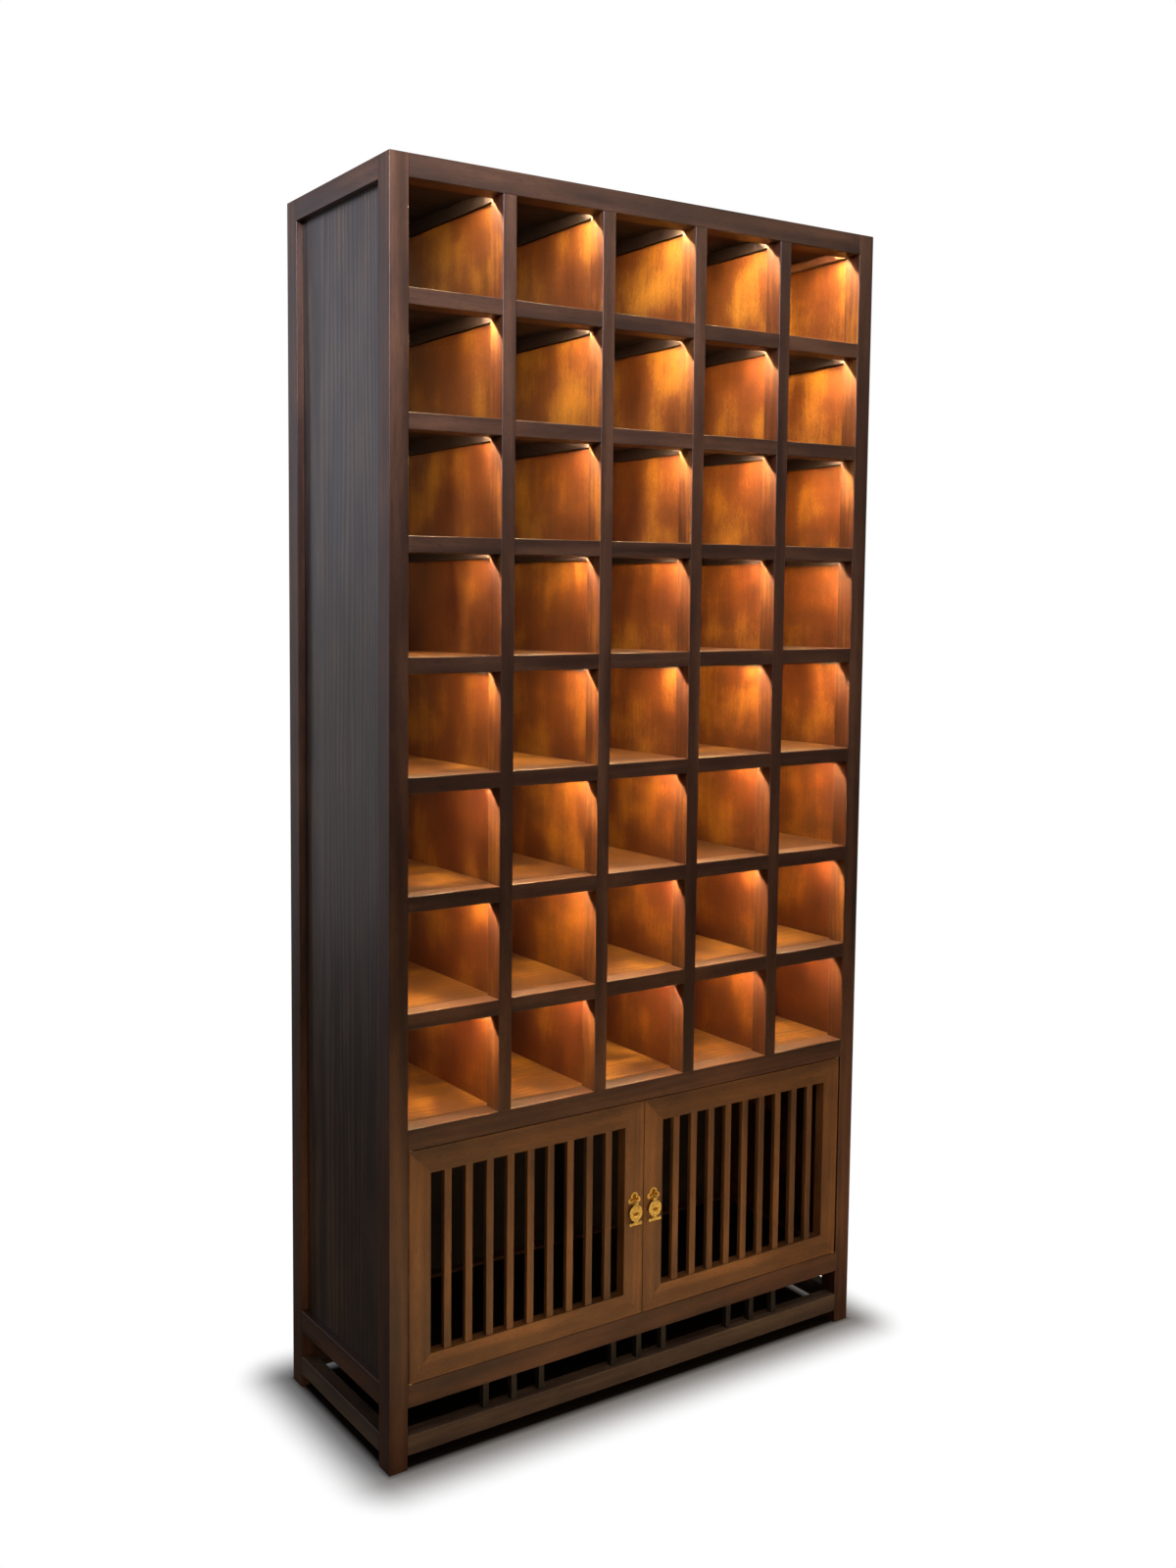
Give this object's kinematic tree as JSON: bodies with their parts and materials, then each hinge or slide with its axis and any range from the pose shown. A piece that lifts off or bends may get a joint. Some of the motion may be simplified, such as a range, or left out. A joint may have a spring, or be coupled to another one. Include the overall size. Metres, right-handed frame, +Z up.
{
  "type": "display cabinet",
  "caption": "Tall open display cabinet with a square lattice of lit cells above a low cupboard whose slatted doors swing out and carry drop handles.",
  "frame": {"origin": "on the floor, under the middle of the cabinet's bounding box with its handles", "axes": "+Z up, +X to the right seen from the front, front and doors towards -Y"},
  "size_m": [1.2, 0.41, 2.4],
  "materials": {
    "walnut_frame": "dark walnut, satin lacquer",
    "walnut_panel": "walnut veneer, satin lacquer",
    "brass": "polished and lacquered brass",
    "aluminium": "anodised aluminium",
    "diffuser": "opal plastic, warm light",
    "driver_case": "fine textured plastic",
    "black_plastic": "fine textured plastic",
    "catch_plastic": "brown plastic",
    "strike_steel": "zinc plated"
  },
  "bodies": {
    "cabinet": {"back_middle_rail": "walnut_frame", "back_panel_lower": "walnut_panel", "back_panel_upper": "walnut_panel", "back_post_left": "walnut_frame", "back_post_right": "walnut_frame", "base_struts": "walnut_frame", "cable_grommet": "black_plastic", "catch_bodies": "catch_plastic", "cupboard_floor": "walnut_panel", "cupboard_top_panel": "walnut_panel", "dividers": "walnut_panel", "door_head_rail": "walnut_frame", "floor_stretcher_back": "walnut_frame", "floor_stretcher_front": "walnut_frame", "floor_stretchers_side": "walnut_frame", "front_post_left": "walnut_frame", "front_post_right": "walnut_frame", "lattice_posts": "walnut_frame", "light_bars": "aluminium", "light_diffusers": "diffuser", "light_driver": "driver_case", "lower_back_rail": "walnut_frame", "lower_front_rail": "walnut_frame", "lower_side_rails": "walnut_frame", "pivot_bushes": "brass", "shelf_bearers": "walnut_frame", "shelf_front_rails": "walnut_frame", "shelf_panels": "walnut_panel", "side_bearers": "walnut_frame", "side_panel_left": "walnut_panel", "side_panel_right": "walnut_panel", "top_back_rail": "walnut_frame", "top_front_rail": "walnut_frame", "top_panel": "walnut_panel", "top_side_rails": "walnut_frame"},
    "left_door": {"left_door_bottom_rail": "walnut_frame", "left_door_hinge_stile": "walnut_frame", "left_door_meeting_stile": "walnut_frame", "left_door_pivot_pins": "brass", "left_door_slats": "walnut_frame", "left_door_strike": "strike_steel", "left_door_top_rail": "walnut_frame", "left_handle_nut": "brass", "left_handle_pin": "brass", "left_handle_plate": "brass", "left_handle_rest": "brass"},
    "right_door": {"right_door_bottom_rail": "walnut_frame", "right_door_hinge_stile": "walnut_frame", "right_door_meeting_stile": "walnut_frame", "right_door_pivot_pins": "brass", "right_door_slats": "walnut_frame", "right_door_strike": "strike_steel", "right_door_top_rail": "walnut_frame", "right_handle_nut": "brass", "right_handle_pin": "brass", "right_handle_plate": "brass", "right_handle_rest": "brass"},
    "left_pendant": {"left_handle_pendant": "brass"},
    "right_pendant": {"right_handle_pendant": "brass"}
  },
  "joints": [
    {"name": "left_door_hinge", "type": "hinge", "parent": "cabinet", "child": "left_door", "pos_m": [-0.5525, -0.189, 0.388], "axis": [0, 0, -1], "range_deg": [0, 95]},
    {"name": "right_door_hinge", "type": "hinge", "parent": "cabinet", "child": "right_door", "pos_m": [0.5525, -0.189, 0.388], "axis": [0, 0, 1], "range_deg": [0, 95]},
    {"name": "left_handle_swing", "type": "hinge", "parent": "left_door", "child": "left_pendant", "pos_m": [-0.025, -0.202, 0.403], "axis": [-1, 0, 0], "range_deg": [0, 85]},
    {"name": "right_handle_swing", "type": "hinge", "parent": "right_door", "child": "right_pendant", "pos_m": [0.025, -0.202, 0.403], "axis": [-1, 0, 0], "range_deg": [0, 85]}
  ]
}
